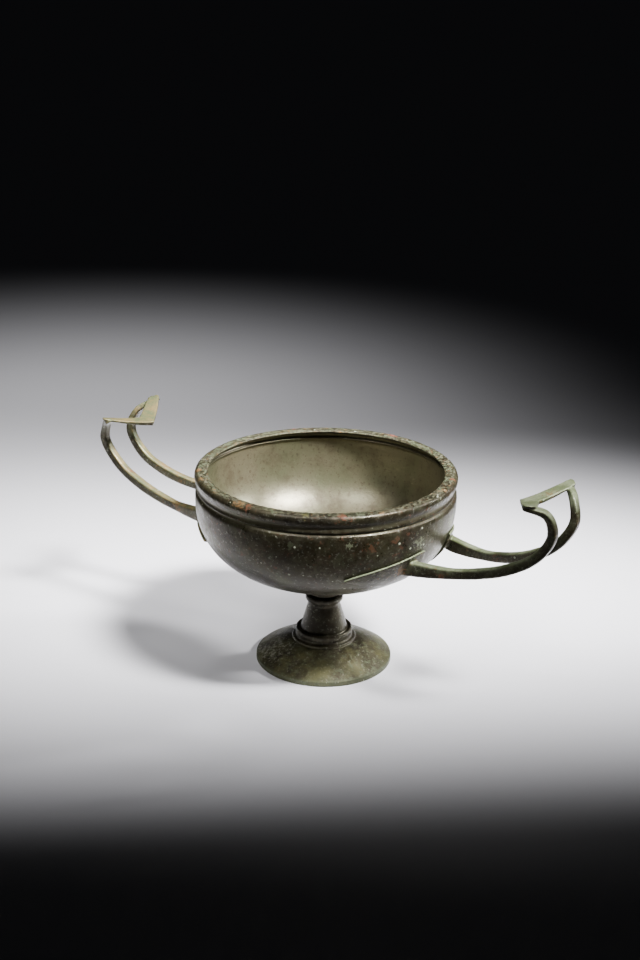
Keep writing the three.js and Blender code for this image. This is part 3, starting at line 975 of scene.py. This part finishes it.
def leaf_edges(share, lift):
    """Upper and lower edge of a leaf at a share of its length from broad end to tip."""
    sizes = settings("handles")
    middle = mm(74) + lift * share
    upper = middle + mm(11) * max(0.0, 1 - share) ** 0.65
    spread = math.degrees(sizes.leaf_to - sizes.leaf_from)
    from_corner = max(0.0, 1 - share * spread / 6)
    rise = mm(4.4) * (1 - math.sqrt(1 - from_corner ** 2))
    lower = middle - mm(8.4) * (1 - share ** 2.5) + rise
    return upper, lower


def make_leaf(flank, side):
    """One leaf plate: a thin blank laid round the belly of the bowl."""
    sizes, bowl = settings("handles"), settings("bowl")
    lift = BENDS[side]["lift"] if flank < 0 else 0.0

    def rule(point):
        share = min(point.x ** 1.25, 0.995)
        turn = (sizes.leaf_from + (sizes.leaf_to - sizes.leaf_from) * share) * flank
        upper, lower = leaf_edges(share, lift)
        z = lower + (upper - lower) * (point.y + 1) / 2
        step = mm(0.01)
        slope = (skin_radius(bowl, z + step) - skin_radius(bowl, z - step)) / (2 * step)
        tilt = math.hypot(1, slope)
        thick = sizes.leaf_thickness * (0.55 + 0.45 * smooth_step(point.y, -1, 0))
        off = sizes.clearance + thick * (point.z + 1) / 2
        reach = skin_radius(bowl, z) + off / tilt
        return Vector((reach * math.cos(turn) * side, reach * math.sin(turn),
                       z - off * slope / tilt)) + AXIS

    leaf = blank("leaf", 70, 30, 0.12)
    reshaped(leaf, rule)
    return leaf


def make_trimmer():
    """The belly of the bowl grown into the leaves: it trims the root of each bar."""
    sizes, bowl = settings("handles"), settings("bowl")
    grow = sizes.clearance + sizes.leaf_thickness / 2
    outline = Outline((0.0, CUP_TOP), 2)
    outline.line(bowl.belly_radius + grow, CUP_TOP)
    for i in range(41):
        outline.points.append(skin_point(bowl, -grow, math.pi / 2 * i / 40))
    return spun("trimmer", outline.points, 180)


def make_handle(name, side):
    """Fuses two bars, a thumb-plate and two leaves into one casting."""
    trimmer = make_trimmer()
    parts = []
    for flank in (-1, 1):
        bar = make_bar(flank, side)
        apply_modifier(bar, "BOOLEAN", "trim", operation="DIFFERENCE", object=trimmer,
                       solver="EXACT")
        parts += [bar, make_leaf(flank, side)]
    parts.append(make_plate(side))
    bpy.data.objects.remove(trimmer)
    bpy.ops.object.select_all(action="DESELECT")
    for part in parts:
        part.select_set(True)
    bpy.context.view_layer.objects.active = parts[0]
    bpy.ops.object.join()
    handle = bpy.context.object
    handle.name = name
    handle.data.name = name
    grain = settings("handles").grain
    apply_modifier(handle, "REMESH", "fuse", mode="VOXEL", voxel_size=grain, adaptivity=0.0)
    apply_modifier(handle, "SMOOTH", "soften", factor=0.5, iterations=2)
    worn_surface(handle, "uneven", 0.007, mm(0.2), depth=1)
    return handle


class KYLIX_OT_handles(bpy.types.Operator):
    """Model the two handles, each one casting of bars, thumb-plate and leaf plates"""

    bl_idname = "kylix.handles"
    bl_label = "Handles"
    bl_options = {"REGISTER", "UNDO"}

    def execute(self, context):
        finish = settings("finish")
        right = make_handle("cup_handle_right", 1)
        # Each handle's film lies on its upward faces and partly paints light from above.
        green = handle_bronze("handle_bronze_green", finish.sage, finish.verdigris, 0.85,
                              GREEN_HANDLE_STAINS)
        finished(right, "handle_right", green)
        left = make_handle("cup_handle_left", -1)
        brown = handle_bronze("handle_bronze_brown", finish.sand, finish.verdigris, 0.75,
                              BROWN_HANDLE_STAINS)
        finished(left, "handle_left", brown)
        return {"FINISHED"}


# ---- stage --------------------------------------------------------------------------------


class KYLIX_OT_stage(bpy.types.Operator):
    """Set the pale floor, the soft lights and the camera"""

    bl_idname = "kylix.stage"
    bl_label = "Stage"
    bl_options = {"REGISTER", "UNDO"}

    def soft_box(self, name, place, target, size, along, spread, power):
        """A rectangular soft box that shines towards a place, its long side lying `along`."""
        bpy.ops.object.light_add(type="AREA", location=place + AXIS)
        light = bpy.context.object
        light.name = name
        light.data.shape = "RECTANGLE"
        light.data.size, light.data.size_y = size
        light.data.energy = power
        light.data.spread = math.radians(spread)
        back = (place - target).normalized()
        across = (along - back * along.dot(back)).normalized()
        turn = Matrix((across, back.cross(across), back)).transposed()
        light.rotation_euler = turn.to_euler()

    def execute(self, context):
        stage = settings("stage")
        floor = new_primitive(bpy.ops.mesh.primitive_plane_add, "floor", size=40)
        paint = bpy.data.materials.new("pale_floor")
        paint.use_nodes = True
        shader = paint.node_tree.nodes["Principled BSDF"]
        shader.inputs["Base Color"].default_value = (*stage.floor_colour, 1.0)
        shader.inputs["Roughness"].default_value = 0.75
        floor.data.materials.append(paint)

        look = Vector(stage.look).normalized()
        right = look.cross(Vector((0, 0, 1))).normalized()
        up = right.cross(look)
        lean = math.cos(stage.roll), math.sin(stage.roll)
        leaned_right = right * lean[0] + up * lean[1]
        leaned_up = up * lean[0] - right * lean[1]
        turn = Matrix((leaned_right, leaned_up, -look)).transposed()
        bpy.ops.object.camera_add(location=Vector(stage.camera_place) + AXIS,
                                  rotation=turn.to_euler())
        camera = bpy.context.object
        camera.data.lens = stage.lens
        camera.data.sensor_width = 36
        camera.data.clip_end = 60
        context.scene.camera = camera

        towards = -(look - Vector((0, 0, look.z))).normalized()
        pool = -towards * 0.1
        boxes = (
            ("key", (0.5, 0.41, 0.88), pool, (0.5, 0.16), 21, stage.key_power),
            ("side", (0.85, -0.1, 0.55), pool, (0.1, 0.1), 24, stage.side_power),
            ("fill", (-0.38, 0.45, 0.75), pool, (0.35, 0.2), 26, stage.fill_power),
            ("behind", (0.0, 0.0, 1.1), right * -0.2 - towards * 0.38, (0.25, 0.4), 42,
             stage.back_power),
        )
        for name, (to_right, to_front, up_by), target, size, spread, power in boxes:
            place = target + right * to_right + towards * to_front + Vector((0, 0, up_by))
            self.soft_box(name, place, target, size, right, spread, power)
        world = context.scene.world or bpy.data.worlds.new("room")
        context.scene.world = world
        world.use_nodes = True
        background = world.node_tree.nodes["Background"]
        background.inputs["Color"].default_value = (0.9, 0.92, 1.0, 1.0)
        background.inputs["Strength"].default_value = stage.room
        return {"FINISHED"}


# ---- panel and registration ---------------------------------------------------------------


class KYLIX_PT_panel(bpy.types.Panel):
    """Sizes, colours and the steps that model the cup"""

    bl_idname = "KYLIX_PT_panel"
    bl_label = "Bronze Kylix"
    bl_space_type = "VIEW_3D"
    bl_region_type = "UI"
    bl_category = "Kylix"

    def draw(self, context):
        for operator in OPERATORS:
            self.layout.operator(operator.bl_idname)
        for group, kind in GROUPS.items():
            box = self.layout.box()
            box.label(text=group.capitalize())
            for name in kind.__annotations__:
                box.prop(getattr(context.scene, "kylix_" + group), name)


GROUPS = {
    "bowl": KylixBowl,
    "foot": KylixFoot,
    "handles": KylixHandles,
    "finish": KylixFinish,
    "stage": KylixStage,
}
OPERATORS = (KYLIX_OT_stage, KYLIX_OT_bowl, KYLIX_OT_foot, KYLIX_OT_handles)


def register():
    for group, kind in GROUPS.items():
        bpy.utils.register_class(kind)
        setattr(bpy.types.Scene, "kylix_" + group, bpy.props.PointerProperty(type=kind))
    for operator in OPERATORS:
        bpy.utils.register_class(operator)
    bpy.utils.register_class(KYLIX_PT_panel)


def unregister():
    bpy.utils.unregister_class(KYLIX_PT_panel)
    for operator in reversed(OPERATORS):
        bpy.utils.unregister_class(operator)
    for group, kind in reversed(GROUPS.items()):
        delattr(bpy.types.Scene, "kylix_" + group)
        bpy.utils.unregister_class(kind)


def main():
    register()
    bpy.ops.kylix.stage()
    bpy.ops.kylix.bowl()
    bpy.ops.kylix.foot()
    bpy.ops.kylix.handles()


if __name__ == "__main__":
    main()
